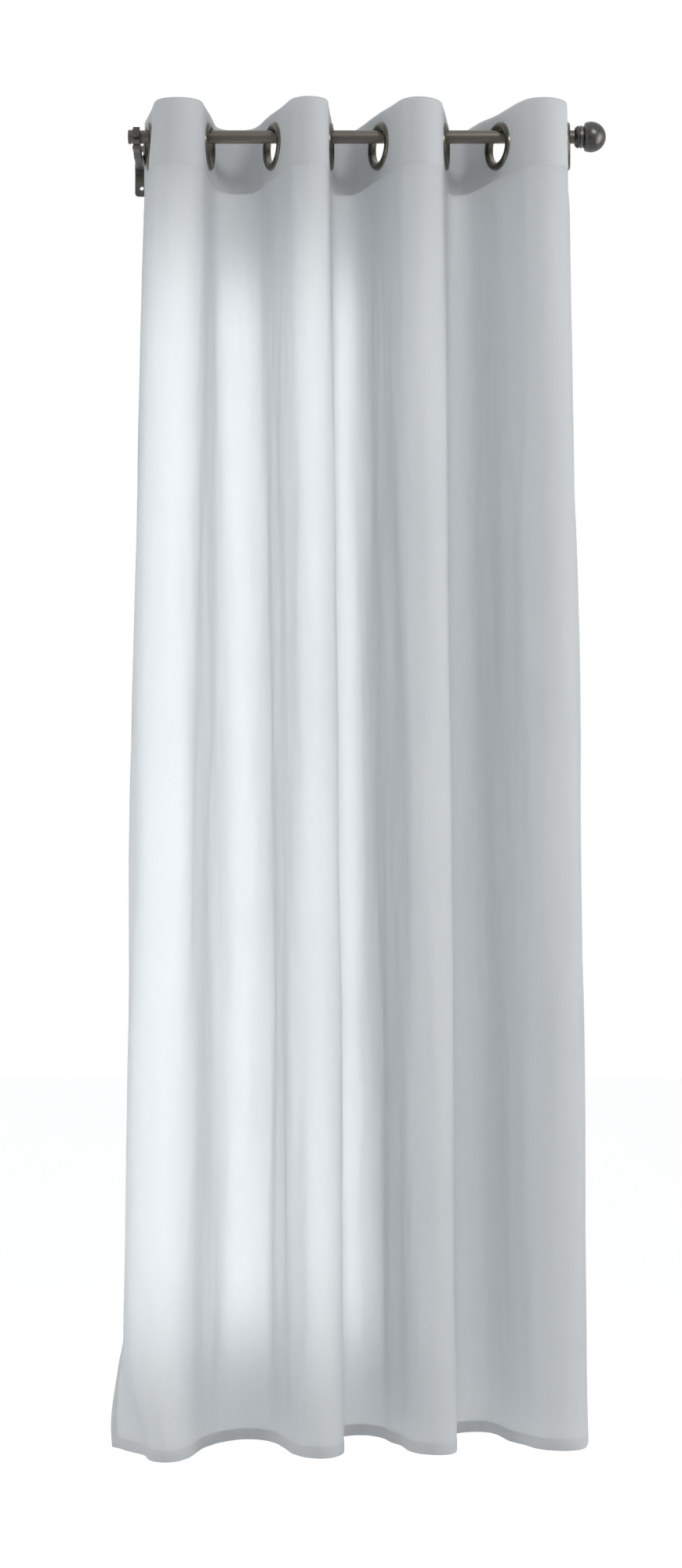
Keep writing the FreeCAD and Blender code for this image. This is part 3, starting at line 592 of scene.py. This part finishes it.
def metal_material(name, dark, light, rough, mottle, brushed, edge):
    """Aged pewter: mottled colour, fine brushing along X, and brighter sharp edges that are partly wear and
    partly a painted highlight.
    """
    material, tree, add, shader, output = nodes_of(name)
    coordinates = add("ShaderNodeTexCoord")
    place = coordinates.outputs["Object"]
    cloudy = add("ShaderNodeTexNoise", Scale=mottle, Detail=6.0, Roughness=0.6)
    fine = add("ShaderNodeMapping")
    fine.inputs["Scale"].default_value = brushed
    lines = add("ShaderNodeTexNoise", Scale=1.0, Detail=4.0)
    pits = add("ShaderNodeTexNoise", Scale=1400.0, Detail=2.0)
    for node in (cloudy, fine, pits):
        tree.links.new(place, node.inputs["Vector"])
    tree.links.new(fine.outputs[0], lines.inputs["Vector"])
    both = add("ShaderNodeMath", operation="MULTIPLY_ADD")
    tree.links.new(lines.outputs["Fac"], both.inputs[0])
    both.inputs[1].default_value = 0.5
    tree.links.new(cloudy.outputs["Fac"], both.inputs[2])
    factor = scaled(tree, add, both.outputs[0], -0.7, 1.3)
    base = mix_colour(tree, add, factor, dark, light)
    # brighter colour on sharp edges: partly wear, partly a painted highlight
    edge_geometry = add("ShaderNodeNewGeometry")
    sharp = add("ShaderNodeMapRange")
    tree.links.new(edge_geometry.outputs["Pointiness"], sharp.inputs["Value"])
    sharp.inputs["From Min"].default_value = 0.53
    sharp.inputs["From Max"].default_value = 0.62
    top = add("ShaderNodeMix", data_type="RGBA")
    tree.links.new(sharp.outputs[0], top.inputs[0])
    tree.links.new(base, top.inputs[6])
    top.inputs[7].default_value = (*edge, 1)
    tree.links.new(top.outputs[2], shader.inputs["Base Color"])
    shader.inputs["Metallic"].default_value = 1.0
    roughness = scaled(tree, add, both.outputs[0], rough - 0.1, rough + 0.12)
    tree.links.new(roughness, shader.inputs["Roughness"])
    bump = add("ShaderNodeBump", Strength=0.25, Distance=0.0001)
    tree.links.new(pits.outputs["Fac"], bump.inputs["Height"])
    tree.links.new(bump.outputs[0], shader.inputs["Normal"])
    return material


single = cloth_material("cloth_single", (0.87, 0.885, 0.895), (0.81, 0.83, 0.845), 0.58)
# the doubled header and hems: the same cloth painted a little darker as shade, and letting less light through
double_shaded = cloth_material("cloth_double_shaded", (0.84, 0.857, 0.87), (0.775, 0.798, 0.818), 0.2)
thread = cloth_material("thread", (0.8, 0.82, 0.84), (0.72, 0.745, 0.77), 0.05)
cloth.data.materials.append(single)
cloth.data.materials.append(double_shaded)
stitches.data.materials.append(thread)

pattern_uv = np.zeros(len(cloth.data.loops) * 2, np.float32)
cloth.data.uv_layers["pattern"].data.foreach_get("uv", pattern_uv)
pattern_h = pattern_uv[1::2] / MM
pattern_s = pattern_uv[0::2] / MM
for p in cloth.data.polygons:
    level = pattern_h[p.loop_start : p.loop_start + p.loop_total].mean()
    across = pattern_s[p.loop_start : p.loop_start + p.loop_total].mean()
    doubled = level < HEADER or level > TALL - BOTTOM_HEM or min(across, WIDE - across) < SIDE_HEM
    p.material_index = 1 if doubled else 0

# each metal's edge colour is partly wear and partly a painted highlight
by_slot = {
    "rod_metal": metal_material(
        "rod_pewter",
        dark=(0.115, 0.105, 0.088),
        light=(0.19, 0.175, 0.15),
        rough=0.36,
        mottle=60,
        brushed=(25, 900, 900),
        edge=(0.24, 0.22, 0.19),
    ),
    "eyelet_metal": metal_material(
        "eyelet_pewter",
        dark=(0.055, 0.051, 0.038),
        light=(0.125, 0.116, 0.088),
        rough=0.24,
        mottle=160,
        brushed=(400, 400, 400),
        edge=(0.42, 0.39, 0.32),
    ),
    "finial_metal": metal_material(
        "finial_pewter",
        dark=(0.085, 0.083, 0.08),
        light=(0.165, 0.16, 0.152),
        rough=0.3,
        mottle=220,
        brushed=(300, 300, 300),
        edge=(0.45, 0.44, 0.42),
    ),
    "bracket_metal": metal_material(
        "bracket_pewter",
        dark=(0.07, 0.067, 0.06),
        light=(0.13, 0.125, 0.115),
        rough=0.42,
        mottle=180,
        brushed=(300, 300, 300),
        edge=(0.22, 0.21, 0.19),
    ),
}
slot_of = {row["node"]: row["material_slot"] for row in frame["record"]["subparts"]}
CLOTH_NODES = [n for n, slot in slot_of.items() if slot == "cloth"]
for name, obj in frame["nodes"].items():
    if slot_of[name] in by_slot:
        for entry in obj.material_slots:
            entry.material = by_slot[slot_of[name]]

# ---------------------------------------------------------------- riding on the frame
for piece in (cloth, stitches):
    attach(piece, "rod")
    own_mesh(piece)
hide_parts(*CLOTH_NODES)

# ---------------------------------------------------------------- floor, light and camera
floor_mesh = bpy.data.meshes.new("floor")
floor_size, floor_z = 14.0, HEM - 0.30
corners = [(-floor_size, -floor_size, floor_z), (floor_size, -floor_size, floor_z)]
corners += [(floor_size, floor_size, floor_z), (-floor_size, floor_size, floor_z)]
floor_mesh.from_pydata(corners, [], [(0, 1, 2, 3)])
floor = bpy.data.objects.new("floor", floor_mesh)
bpy.context.scene.collection.objects.link(floor)
pale, _, _, shader, _ = nodes_of("pale_floor")
shader.inputs["Base Color"].default_value = (0.94, 0.925, 0.905, 1)
shader.inputs["Emission Color"].default_value = (1, 1, 1, 1)
shader.inputs["Emission Strength"].default_value = 0.36
shader.inputs["Roughness"].default_value = 0.9
floor_mesh.materials.append(pale)
floor.visible_diffuse = False
floor.visible_glossy = False

# the light from all round, and how it grows towards the wall side, the left and the top
SKY_LEVEL, SKY_LEAN = 0.61, (-0.12, 0.3, 0.1)
world = bpy.data.worlds.new("studio")
bpy.context.scene.world = world
world.use_nodes = True
sky = world.node_tree
sky.nodes.clear()
seen, lit = sky.nodes.new("ShaderNodeBackground"), sky.nodes.new("ShaderNodeBackground")
seen.inputs["Color"].default_value = (1, 1, 1, 1)
lit.inputs["Color"].default_value = (0.945, 0.975, 1, 1)
towards = sky.nodes.new("ShaderNodeTexCoord")
weights = sky.nodes.new("ShaderNodeVectorMath")
weights.operation = "DOT_PRODUCT"
weights.inputs[1].default_value = SKY_LEAN
level = sky.nodes.new("ShaderNodeMath")
level.operation = "ADD"
level.inputs[1].default_value = SKY_LEVEL
sky.links.new(towards.outputs["Generated"], weights.inputs[0])
sky.links.new(weights.outputs["Value"], level.inputs[0])
sky.links.new(level.outputs[0], lit.inputs["Strength"])
path = sky.nodes.new("ShaderNodeLightPath")
either = sky.nodes.new("ShaderNodeMixShader")
out = sky.nodes.new("ShaderNodeOutputWorld")
sky.links.new(path.outputs["Is Camera Ray"], either.inputs[0])
sky.links.new(lit.outputs[0], either.inputs[1])
sky.links.new(seen.outputs[0], either.inputs[2])
sky.links.new(either.outputs[0], out.inputs["Surface"])

def soft_light(name, place, target, wide, tall, power, colour=(1, 1, 1)):
    """A soft rectangular light that the camera doesn't see."""
    data = bpy.data.lights.new(name, "AREA")
    data.energy = power
    data.color = colour
    data.shape = "RECTANGLE"
    data.size = wide
    data.size_y = tall
    obj = bpy.data.objects.new(name, data)
    bpy.context.scene.collection.objects.link(obj)
    obj.location = place
    obj.rotation_euler = (Vector(target) - Vector(place)).to_track_quat("-Z", "Y").to_euler()
    obj.visible_camera = False
    return obj


soft_light(
    "key_right",
    place=(0.9, -2.4, 1.2),
    target=(0, ROD.y, -0.3),
    wide=0.6,
    tall=0.6,
    power=18,
    colour=(1, 0.98, 0.96),
)
soft_light(
    "left_side",
    place=(-1.15, -0.8, -0.95),
    target=(-0.42, ROD.y, -0.95),
    wide=0.6,
    tall=1.9,
    power=2.5,
)
soft_light(
    "right_side",
    place=(1.5, -0.62, -0.6),
    target=(-0.1, ROD.y, -0.75),
    wide=0.7,
    tall=1.8,
    power=14,
)
# daylight from a window behind the left folds
window_top, window_foot = TOP - 0.18, HEM + 0.115
window_z = (window_top + window_foot) / 2
window = soft_light(
    "window",
    place=(-0.375, 0.2, window_z),
    target=(-0.375, ROD.y, window_z),
    wide=0.37,
    tall=window_top - window_foot,
    power=1.9,
)
window.data.spread = math.radians(50)

camera_data = bpy.data.cameras.new("camera")
camera = bpy.data.objects.new("camera", camera_data)
bpy.context.scene.collection.objects.link(camera)
# in front of the panel, below its middle and looking slightly up
CAMERA_X, CAMERA_AWAY, CAMERA_UP, CAMERA_TILT = -0.2411, 3.339, 0.6074, 3.04
camera.location = (CAMERA_X, ROD.y - CAMERA_AWAY, HEM + CAMERA_UP)
camera.rotation_euler = (math.radians(90 + CAMERA_TILT), 0, 0)
camera_data.lens = 64.0
camera_data.clip_end = 60
bpy.context.scene.camera = camera
bpy.context.scene.view_settings.view_transform = "Standard"
